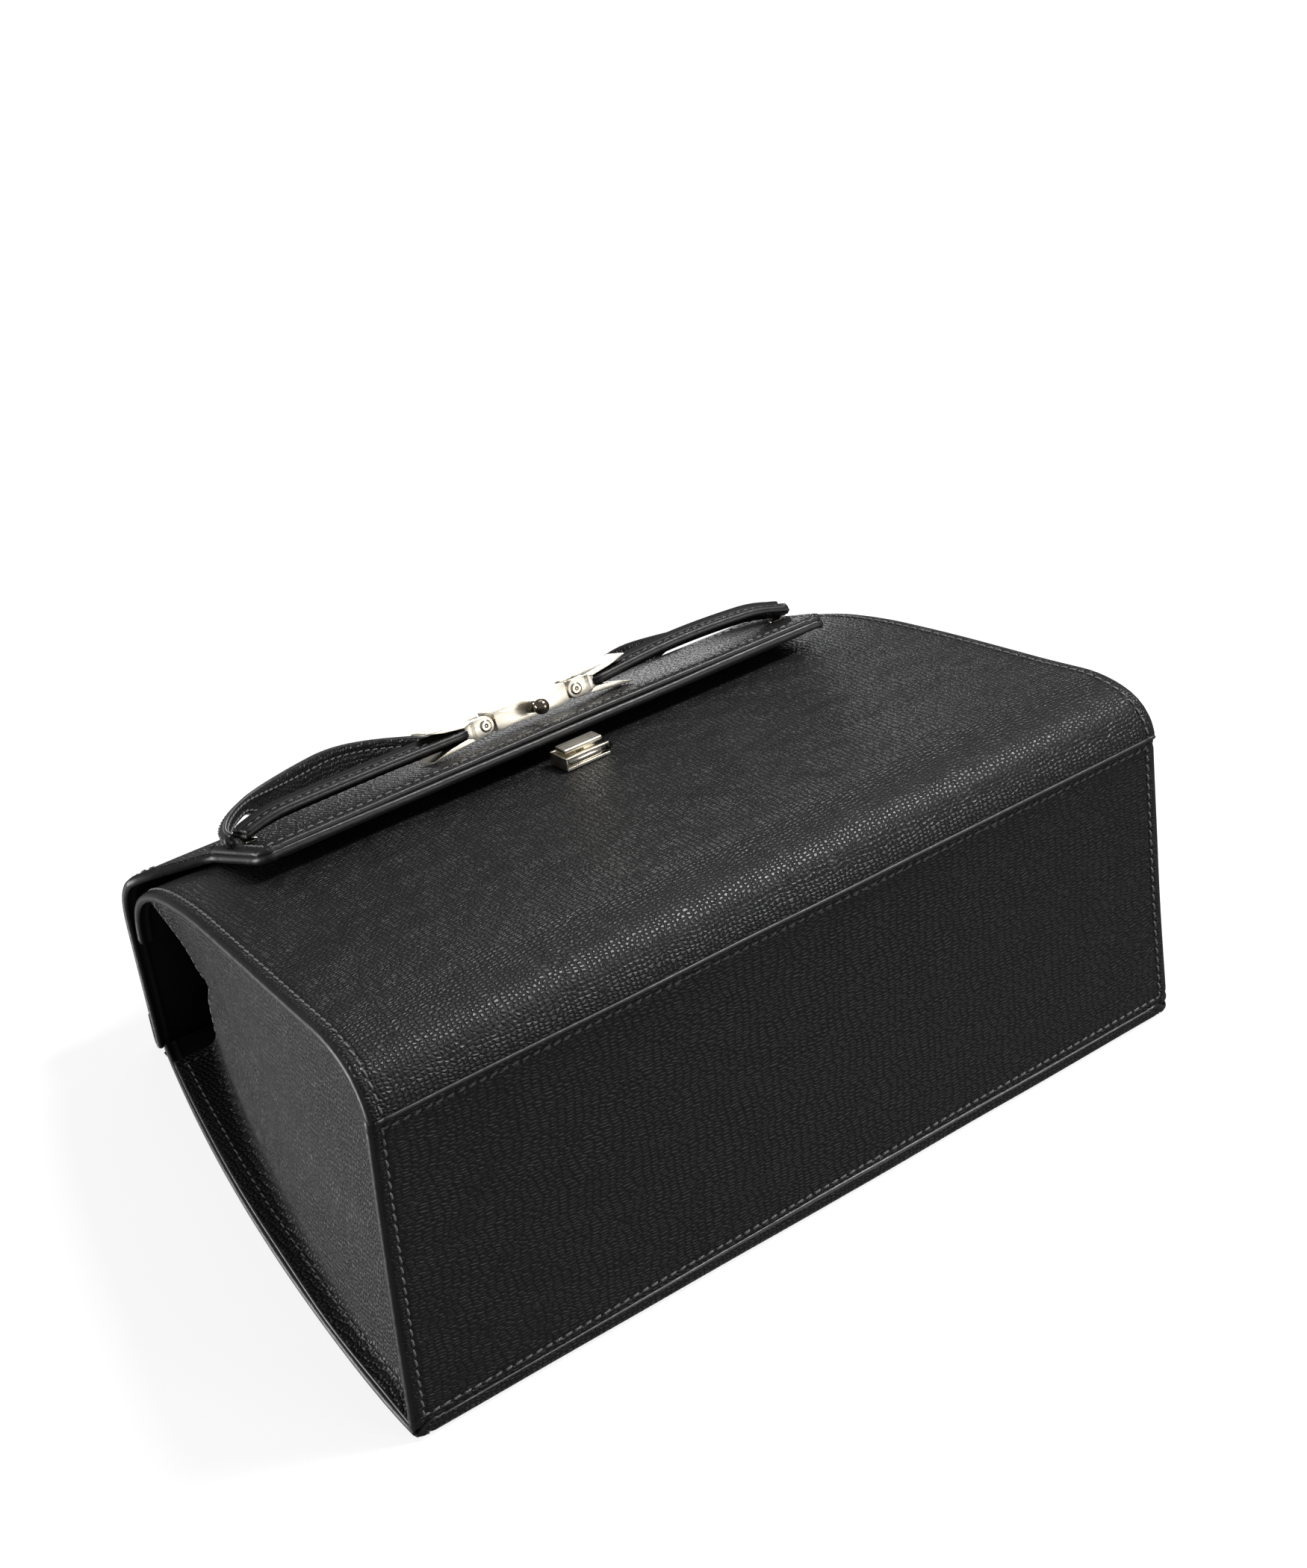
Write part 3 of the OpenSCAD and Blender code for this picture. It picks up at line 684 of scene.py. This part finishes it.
def gusset(side_sign, name, node):
    """The whole sheet of one side, -1 left or 1 right, and its thread."""
    base_z = 2.8
    zs = spread(base_z, MOUTH_Z, 3.6)
    rows, uvs = [], []
    for z in zs:
        at, length = gusset_row(z)
        rows.append([[side_sign * q[0], q[1], z] for q in at])
        uvs.append(np.stack([length, np.full(len(at), z)], -1))
    p, uv = np.array(rows), np.array(uvs)
    top = np.repeat((MOUTH_Z - zs)[:, None], p.shape[1], 1)
    low = np.repeat((zs - base_z)[:, None], p.shape[1], 1)
    p[..., 0] += side_sign * wobble(p, 0.5, 34.0, 5.0 * side_sign) * np.clip(low / 12, 0, 1)
    _, p, n = sheet(name, p, uv, GUSSET_T, "body", [GUSSET, EDGE, HIDE],
                    flip=side_sign < 0, sewn=[top], replaces=[node])
    stitches(name + "_stitches", across(p, n, 1, -1, (-6,)) + down(p, n, 2, -6, (-3,)), "body", radius=0.3)


gusset(-1, "gusset_left_sheet", "gusset_left")
gusset(1, "gusset_right_sheet", "gusset_right")

# ---- inside: linings, board, pocket ----
CLOTHS = [CLOTH, CLOTH, CLOTH]

lining_line = offset_path(smooth_path(front_path[8:-8], 90), LEATHER_T + 1.35)
lining_vs = spread(0.0, arc(lining_line)[-1], 4.0)
lining_yz = along(lining_line, lining_vs)
lining_u, lining_edge = trapezoid(
    lambda v: half_w(np.interp(v, lining_vs, lining_yz[:, 1])) - 18.4, lining_vs)
lining_p = laid(lining_u, lining_yz)
sheet("front_lining_cloth", lining_p, np.stack([lining_u, lining_p[..., 2]], -1), 0.9, "body",
      CLOTHS, flip=True, sewn=[lining_edge], life=0.35, seed=21.0, replaces=["front_lining"])


def on_back(x, s, d):
    """A point s up the back panel and d inside its outer face."""
    x, s, d = np.broadcast_arrays(np.asarray(x, float), np.asarray(s, float), np.asarray(d, float))
    return np.stack([x, BASE_D - s * lean_y - d * lean_z, s * lean_z - d * lean_y], -1)


def back_cloth(name, half, low, high, depth, thick, node, seed, fold=0.0):
    """Cloth lying on the inside of the back panel; fold is how far its mouth bulges."""
    v = spread(low, high, 4.5)
    u, edge = trapezoid(half, v)
    ends = np.minimum(v - low, high - v)[:, None] + 0 * u
    middle = np.sin(np.pi * np.clip((u - u.min()) / (u.max() - u.min()), 0, 1))
    bulge = fold * middle * np.clip((v - low) / (high - low), 0, 1)[:, None] ** 2
    p = on_back(u, v[:, None], depth + bulge)
    return sheet(name, p, flat(u, v), thick, "body", CLOTHS, sewn=[edge, ends], life=0.3,
                 seed=seed, replaces=[node])


back_cloth("back_lining_cloth", lambda s: back_half(s) - 23.5, 6.5, BACK_LEN - 12, 3.75, 0.9,
           "back_lining", 31.0)
_, pocket_p, pocket_n = back_cloth("inner_pocket_cloth", lambda s: 70 + 2 * (s - 30) / 92, 30.0, 122.0,
                                   5.4, 1.4, "inner_pocket", 41.0, fold=1.6)
stitches("inner_pocket_stitches",
         across(pocket_p, pocket_n, 1, -1, (5,)) + down(pocket_p, pocket_n, 0, None),
         "body", radius=0.28, pitch=2.8, length=2.1)
floor_front, floor_rear = 5.0, BASE_D - 9.6
floor_vs = spread(floor_front, floor_rear, 5.0)
floor_u, floor_edge = trapezoid(lambda v: 127.0 + 0 * v, floor_vs)
floor_ends = np.minimum(floor_vs - floor_front, floor_rear - floor_vs)[:, None] + 0 * floor_u
floor_p = np.stack([floor_u, floor_vs[:, None] + 0 * floor_u, np.full_like(floor_u, 5.6)], -1)
sheet("bottom_lining_cloth", floor_p, floor_p[..., :2], 0.9, "body", CLOTHS,
      sewn=[floor_edge, floor_ends], life=0.25, seed=51.0, replaces=["bottom_lining"])


def recolour(node, mat):
    """A CAD node that keeps its shape and takes a better material."""
    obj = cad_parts[node]
    for i in range(max(1, len(obj.material_slots))):
        if not obj.material_slots:
            obj.data.materials.append(mat)
        obj.material_slots[i].material = mat


recolour("base_board", BOARD)
for steel_node in ("mouth_stay", "lock_backing", "lock_screws"):
    recolour(steel_node, STEEL)

# ---- flap: roof, front fold and tab in one sheet ----
flap_path = np.concatenate([[[HINGE_Y, HINGE_Z + 1.3], [40, 173.8]],
                            bez([20, 174.4], [10, 174.7], on_tab(63, -1.8), on_tab(50, -1.8)), [on_tab(0, -1.8)]])
flap_line = smooth_path(flap_path, 130)
flap_len = arc(flap_line)[-1]
flap_vs = spread(0.0, flap_len - 0.9, 3.0)
ROOF_HALF, TAB_HALF = 125.85, 106


def corner_in(past, r):
    """How far a corner of radius r takes an edge in, at past millimetres beyond the corner's start."""
    return r - np.sqrt(np.maximum(r * r - np.clip(past, 0, r) ** 2, 0))


def flap_half(v):
    """Half width of the flap down its length: the roof, then the narrower tab with rounded corners."""
    z = np.interp(v, arc(flap_line), flap_line[:, 1])
    half = np.interp(z, [0, 146, 158, 164, 200], [TAB_HALF, TAB_HALF, 120.85, ROOF_HALF, ROOF_HALF])
    half = np.where(v < 50, ROOF_HALF, half)
    return half - corner_in(6 - (flap_len - v), 6)


flap_u, flap_edge = trapezoid(flap_half, flap_vs)
on_roof = np.clip((flap_len - 46 - flap_vs) / 12, 0, 1)[:, None]  # the tab's edge is sewn by its facing
_, flap_p, flap_n = sheet("flap_skin", laid(flap_u, along(flap_line, flap_vs)),
                          flat(flap_u + 40, flap_vs + 250), LEATHER_T, "flap", GRAIN,
                          flip=True, sewn=[flap_edge / np.maximum(on_roof, 0.02)], life=0.4, seed=17.0,
                          replaces=["flap"])
roof_rows = int(np.sum(flap_vs < flap_len - 50))
stitches("flap_stitches", down(flap_p, flap_n, 3, roof_rows), "flap")

facing_vs = spread(0.8, 39.4, 4.0)


def facing_half(s):
    """Half width of the tab's facing at s up the tab, all four corners rounded."""
    return TAB_HALF - corner_in(6 - s, 6) - corner_in(s - 37, 3)


facing_u, facing_edge = trapezoid(facing_half, facing_vs)
facing_s = facing_vs[:, None] + 0 * facing_u
facing_ends = np.minimum(facing_s - 0.8, 39.4 - facing_s)
bow = 0.9 * np.cos(np.pi * facing_u / 212) * np.clip(1 - facing_s / 30, 0, 1)
facing_p = tab(facing_u, bow * 0.5, facing_s)
_, facing_p, facing_n = sheet("tab_facing_skin", facing_p, flat(facing_u, facing_vs + 400), 1.75, "flap",
                              GRAIN, sewn=[facing_edge, facing_ends], life=0.3,
                              seed=23.0, replaces=["tab_facing"])
stitches("tab_stitches", across(facing_p, facing_n, 5, -5) + down(facing_p, facing_n, 6, -6), "flap")

flap_lining_vs = spread(4.0, 34.0, 4.0)
fl_u, fl_edge = trapezoid(lambda v: 102.0 + 0 * v, flap_lining_vs)
fl_s = flap_lining_vs[:, None] + 0 * fl_u
sheet("flap_lining_cloth", tab(fl_u, -5.2, fl_s), np.stack([fl_u, fl_s], -1), 0.7, "flap", CLOTHS,
      flip=True, sewn=[fl_edge], life=0.2, seed=27.0, replaces=["flap_lining"])


# ---- handle loop ----
def ease(t):
    """From 0 to 1 with level ends."""
    t = np.clip(t, 0, 1)
    return t * t * (3 - 2 * t)


arch_a = np.radians(np.linspace(2, 178, 121))
arch_x = 104 * np.sign(np.cos(arch_a)) * np.abs(np.cos(arch_a)) ** 1.25
arch_h = 78 * np.abs(np.sin(arch_a)) ** 1.25
arch_t = unit(np.stack([np.gradient(arch_x), np.gradient(arch_h)], -1))
arch_out = np.stack([arch_t[:, 1], -arch_t[:, 0]], -1)
arch_s = arc(np.stack([arch_x, arch_h], -1))
band_full = 3 + 17 * ease((arch_h - 34) / 28)
front_v = 3.65 + 2.2 * ease(arch_h / 45) - 17 * ease((arch_x + 45) / 85) * ease((arch_h - 46) / 24)
front_v -= 2.4 * ease((arch_x + 10) / 50) * ease((arch_h - 20) / 12) * (1 - ease((arch_h - 46) / 10))
rear_v = front_v - band_full


def band_grid(off):
    """The handle's face at off millimetres outside its middle line, edge-dense across its width."""
    ref = spread(0.0, 20.0, 2.5)
    rows = []
    for i in range(len(arch_a)):
        full = band_full[i]
        w = ref * full / 20
        o = off + 0.25 * np.sin(np.pi * w / full)
        rows.append(tab(arch_x[i] + arch_out[i, 0] * o, rear_v[i] + w, ROOT_S + arch_h[i] + arch_out[i, 1] * o))
    p = np.array(rows)
    w = np.linalg.norm(p - p[:, :1], axis=-1)
    return p, w, flat(w, arch_s)


band_p, band_w, band_uv = band_grid(2.15)
band_edge = np.minimum(band_w, band_w[:, -1:] - band_w)
_, band_p, band_n = sheet("handle_band_skin", band_p, band_uv, 2.1, "handle", GRAIN,
                          flip=True, sewn=[band_edge], life=0.2, seed=33.0, replaces=["handle_band"])
under_p, under_w, under_uv = band_grid(-0.95)
_, under_p, under_n = sheet("handle_under_skin", under_p, under_uv + 70, 0.95, "handle",
                            GRAIN, sewn=[np.minimum(under_w, under_w[:, -1:] - under_w)],
                            life=0.15, seed=35.0, replaces=["handle_lining"])
stitches("handle_stitches", down(band_p, band_n, 2, -2) + down(under_p, under_n, 2, -2), "handle",
         radius=0.3)


# ---- link: straps of two plies, forks, pins, bar and ball ----
def strap(sign, body, node):
    """Two plies from the fork to the strap's root, bowed off the tab and drawn down to it at the root."""
    near_x, far_x, low_s, high_s = 24.2, 101.2, 14.9, 25.1
    x, s = np.meshgrid(spread(near_x, far_x, 3.0, dense_low=False), spread(low_s, high_s, 1.2))
    f = (x - near_x) / (far_x - near_x)
    bow_height = 1.9 if sign > 0 else 0.3
    lift = bow_height * np.sin(np.pi * np.clip(f * 1.05, 0, 1)) - 2.4 * np.clip((f - 0.8) / 0.2, 0, 1) ** 2
    ends = np.minimum(s - low_s, high_s - s)
    for ply, v, flip, seed in (("outer", 6.85, sign < 0, 61.0), ("inner", 3.95, sign > 0, 63.0)):
        p = tab(sign * x, v + lift, s)
        _, q, n = sheet(f"{node}_{ply}", p, np.stack([x, s + 30], -1), 1.42, body, GRAIN,
                        flip=flip, sewn=[ends * 1.25 + 0.2], life=0.1, seed=seed,
                        replaces=[node] if ply == "outer" else ())
        stitches(f"{node}_{ply}_stitches", across(q, n, 4, -2, (4, -5)), body,
                 radius=0.24, pitch=2.8, length=2.1)


strap(-1, "link_left", "strap_left")
strap(1, "link_right", "strap_right")


def prism(bm, outline, low, high, sign):
    """One plate of a fork: an outline of (from the middle, from the link line), drawn along the tab."""
    if sign < 0:
        outline = outline[::-1]
    rings = [[bm.verts.new(metres(tab(sign * u, LINK_V + w, s))) for u, w in outline] for s in (low, high)]
    bm.faces.new(rings[0][::-1])
    bm.faces.new(rings[1])
    n = len(outline)
    for k in range(n):
        bm.faces.new((rings[0][k], rings[0][(k + 1) % n], rings[1][(k + 1) % n], rings[1][k]))


def fork(sign, body, node):
    """Cast fork: a round ear above and below the bar's knuckle, and two arms that spread round the strap."""
    ear = [(PIN_X + 3.0 * math.cos(a), 3.0 * math.sin(a)) for a in np.radians(np.linspace(75, 285, 22))]
    cheek = ear + [(21.6, -3.1), (22.4, -3.1), (22.4, 3.1), (21.6, 3.1)]
    arm = [(20.6, 3.05), (29.0, 4.0), (36.4, 4.75), (37.4, 4.7), (37.5, 4.3), (31.0, 2.7), (24.2, 1.75)]
    web = [(20.6, 3.05), (20.6, -3.05), (24.2, -1.75), (24.2, 1.75)]
    bm = bmesh.new()
    for low, high in ((15.2, 17.9), (22.1, 24.8)):
        prism(bm, cheek[::-1], low, high, sign)
    prism(bm, arm, 15.2, 24.8, sign)
    prism(bm, [(u, -w) for u, w in arm][::-1], 15.2, 24.8, sign)
    prism(bm, web, 15.2, 24.8, sign)
    bmesh.ops.recalc_face_normals(bm, faces=bm.faces)
    bevel_sharp(bm, 30, 0.22)
    metal_object(bm, node + "_cast", body, GOLD, [node])


fork(-1, "link_left", "fork_left")
fork(1, "link_right", "fork_right")
rounded("link_bar", "link_bar", GOLD, 0.45, 4)
tab_up = np.array([0, math.sin(TAB_LEAN), math.cos(TAB_LEAN)])
tab_out = np.array([0, -math.cos(TAB_LEAN), math.sin(TAB_LEAN)])
BALL_R = 2.5
ball = [(BALL_R * math.sin(a), -BALL_R * math.cos(a)) for a in np.linspace(0.02, 2.76, 26)]
collar = [(0.95, 2.9), (0.95, 4.4), (1.25, 4.6), (1.8, 4.75), (1.85, 5.3), (1.8, 5.85), (0.95, 6.0)]
pin = [(0.0, 0.3), (0.5, 0.3), (0.6, 0.2), (0.85, 0.2), (0.95, 0.55), (1.25, 0.55), (1.35, 0.18),
       (1.75, 0.2), (1.95, 0.4), (2.0, 0.6), (2.0, 0.95), (1.2, 1.0), (1.2, 10.2), (1.9, 10.25),
       (2.0, 10.4), (2.0, 10.8), (1.7, 11.0), (0.0, 11.05)]
rivet = [(1.25, 0.0), (1.25, 0.16), (1.08, 0.36), (0.75, 0.52), (0.35, 0.6), (0.0, 0.62)]
root_rivet = [(2.25, 0.0), (2.2, 0.2), (1.9, 0.45), (1.2, 0.66), (0.5, 0.75), (0.0, 0.76)]
revolve("ball_stud_turned", ball + collar, tab(0, LINK_V, 9.0), tab_up, "link_bar", BALL,
        56, ["ball_stud"])
for sign, side_name in ((-1, "left"), (1, "right")):
    link = f"link_{side_name}"
    revolve(f"pin_{side_name}_turned", pin, tab(sign * PIN_X, LINK_V, 14.5), tab_up, link,
            GOLD_POLISHED, 48, [f"pin_{side_name}"])
    for i, x in enumerate((30.0, 26.5)):
        for face, face_name in ((1, "front"), (-1, "rear")):
            revolve(f"rivet_{side_name}_{i}_{face_name}", rivet,
                    tab(sign * x, LINK_V + face * 2.83, ROOT_S), tab_out * face, link,
                    GOLD_POLISHED, 28, [f"rivets_{side_name}"] if i == 0 and face > 0 else ())
    revolve(f"root_rivet_{side_name}", root_rivet, tab(sign * 99, 0.05, ROOT_S), tab_out, "flap",
            GOLD_POLISHED, 32, ["root_rivets"] if sign < 0 else ())

# ---- turn lock ----
rounded("turn_plate", "turn", GOLD, 0.4, 4)
rounded("turn_spindle", "turn", GOLD_POLISHED, 0.15, 2)
lock_out = np.array([0, -math.cos(LOCK_LEAN), math.sin(LOCK_LEAN)])
lock_up = np.array([0, math.sin(LOCK_LEAN), math.cos(LOCK_LEAN)])
lock_at = np.array([0, float(front_y(LOCK_Z)), LOCK_Z])


def lock_box(name, low, high, width, replaces=()):
    """A box in the lock's own frame: x along the plate, y out of the panel, z up it."""
    bm = bmesh.new()
    corners = [(low[0] if i & 1 else high[0], low[1] if i & 2 else high[1], low[2] if i & 4 else high[2])
               for i in range(8)]
    vs = [bm.verts.new(metres(lock_at + np.array([x, 0, 0]) + lock_out * y + lock_up * z))
          for x, y, z in corners]
    for f in ((0, 1, 3, 2), (4, 6, 7, 5), (0, 4, 5, 1), (2, 3, 7, 6), (0, 2, 6, 4), (1, 5, 7, 3)):
        bm.faces.new([vs[i] for i in f])
    bmesh.ops.recalc_face_normals(bm, faces=bm.faces)
    bmesh.ops.bevel(bm, geom=bm.edges[:], offset=width / 1000, segments=3, profile=0.5, affect="EDGES")
    metal_object(bm, name, "body", GOLD, replaces)


lock_box("lock_frame_back", (-8.0, 0.2, -4.5), (8.0, 0.9, 4.5), 0.2, ["lock_frame"])
lock_box("lock_frame_sill", (-8.0, 3.6, -4.5), (8.0, 4.4, -3.6), 0.18)
lock_box("lock_frame_foot", (-8.0, 0.6, -4.5), (8.0, 1.2, -3.6), 0.15)
lock_box("lock_frame_lid", (-8.0, 0.6, 3.75), (8.0, 4.4, 4.5), 0.2)
lock_box("lock_frame_end", (-8.0, 0.6, -4.45), (-7.2, 4.35, 4.4), 0.18)
barrel_at = lock_at + lock_out * 2.6 - lock_up * 2.9
barrel = [(0.0, -6.4), (1.1, -6.4), (1.2, -6.9), (1.55, -6.9), (1.7, -6.6), (1.7, 4.6), (1.55, 5.0),
          (0.0, 5.05)]
barrel_knob = [(0.0, 4.9), (1.25, 4.9), (1.3, 6.8), (1.6, 7.0), (1.75, 7.6), (1.6, 8.5), (1.1, 9.0),
               (0.9, 9.5), (0.0, 9.6)]
# A dark disc in the recess at the barrel's end: painted shade standing for its hole.
barrel_hole = [(0.0, -6.6), (1.02, -6.6), (1.05, -6.5), (1.05, -5.9), (0.0, -5.85)]
revolve("lock_barrel_turned", barrel, barrel_at, [1, 0, 0], "body", GOLD_POLISHED, 36,
        ["lock_barrel"])
revolve("lock_barrel_knob", barrel_knob, barrel_at, [1, 0, 0], "body", DARK_METAL_AND_SHADE, 36)
revolve("lock_barrel_hole_shade", barrel_hole, barrel_at, [1, 0, 0], "body", DARK_METAL_AND_SHADE, 28)

# ---- hinge strip: thin leather over the fold where the flap joins the back panel ----
strip_up_back = [[BASE_D - s * lean_y + 0.55, s * lean_z + 0.15] for s in np.linspace(160, BACK_LEN - 2, 6)]
strip_fold = [[HINGE_Y + 0.9, HINGE_Z + 0.2], [HINGE_Y + 0.2, HINGE_Z + 1.55]]
strip_on_roof = [[y, HINGE_Z + 1.3 + (HINGE_Y - y) / 25.6 + 0.45] for y in (63, 60, 57, 54)]
strip_line = smooth_path(np.array(strip_up_back + strip_fold + strip_on_roof), 26)
strip_u = np.repeat(spread(-125.4, 125.4, 5.0)[None, :], len(strip_line), 0)
strip, _, _ = sheet("hinge_strip", laid(strip_u, strip_line), flat(strip_u, arc(strip_line)), 0.6, None,
                    GRAIN, flip=True, life=0.05, seed=71.0)
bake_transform(strip)

# ---- floor, lights and air ----
centre = metres([0, 50, 85])
lying_up = np.array([0, -math.cos(LEAN), -math.sin(LEAN)])


def floor(name, at, up, mat):
    """A large pale plane that shows from above only, and keeps no light from the bag."""
    up = Vector(up)
    turn = up.to_track_quat("Z", "Y").to_matrix().to_4x4()
    me = bpy.data.meshes.new(name)
    me.from_pydata([(-6, -6, 0), (6, -6, 0), (6, 6, 0), (-6, 6, 0)], [], [(0, 1, 2, 3)])
    me.materials.append(mat)
    obj = bpy.data.objects.new(name, me)
    bpy.context.collection.objects.link(obj)
    obj.matrix_world = Matrix.Translation(Vector(at)) @ turn
    obj.visible_shadow = obj.visible_diffuse = obj.visible_glossy = obj.visible_transmission = False


def floor_mat():
    """Pale paper that is clear when seen from below."""
    m = Nodes("pale_floor", Metallic=0.0, Roughness=0.9, IOR=1.3,
              Emission_Color=(1, 1, 1, 1), Emission_Strength=0.86)
    where = m.coords(uv=False)
    soft = m.noise(where, 6.0, 3.0)
    m.set(Base_Color=m.mix(soft, (0.30, 0.30, 0.30, 1), (0.34, 0.34, 0.34, 1)))
    back = m.node("ShaderNodeNewGeometry", out="Backfacing")
    clear = m.tree.nodes.new("ShaderNodeBsdfTransparent").outputs[0]
    mixed = m.node("ShaderNodeMixShader", i0=back, i1=m.bsdf.outputs[0], i2=clear)
    m.tree.links.new(mixed, m.tree.nodes["Material Output"].inputs["Surface"])
    return m.mat


FLOOR = floor_mat()
floor("lying_floor", metres([0, BASE_D + 0.75, 0]), lying_up, FLOOR)
floor("standing_floor", metres([0, 50, -0.9]), (0, 0, 1), FLOOR)


def softbox(name, direction, distance, size, power):
    """A soft area light aimed at the middle of the bag."""
    data = bpy.data.lights.new(name, "AREA")
    data.shape, data.size, data.size_y, data.energy = "RECTANGLE", size[0], size[1], power
    obj = bpy.data.objects.new(name, data)
    d = unit(direction)
    obj.location = centre + d * distance
    obj.rotation_euler = Vector(d).to_track_quat("Z", "Y").to_euler()
    bpy.context.collection.objects.link(obj)


softbox("key", [0.49, -0.84, -0.22], 1.5, (0.45, 0.3), 19.0)
softbox("front", [0.24, -0.90, 0.34], 1.6, (1.2, 0.9), 3.0)
softbox("crown", [0.50, 0.0, 0.86], 1.6, (0.5, 0.4), 2.0)
softbox("side", [-0.85, 0.12, 0.5], 1.6, (1.1, 1.1), 26.0)
softbox("low", [0.48, -0.16, -0.86], 1.6, (0.8, 0.7), 4.6)
softbox("rear", [0.3, 1.0, 0.5], 1.8, (1.4, 1.2), 6.0)

world = bpy.data.worlds.new("studio")
world.use_nodes = True
air = world.node_tree.nodes["Background"].inputs
air["Color"].default_value = (1.0, 1.0, 1.0, 1.0)
air["Strength"].default_value = 0.17
bpy.context.scene.world = world
bpy.context.scene.view_settings.view_transform = "Standard"
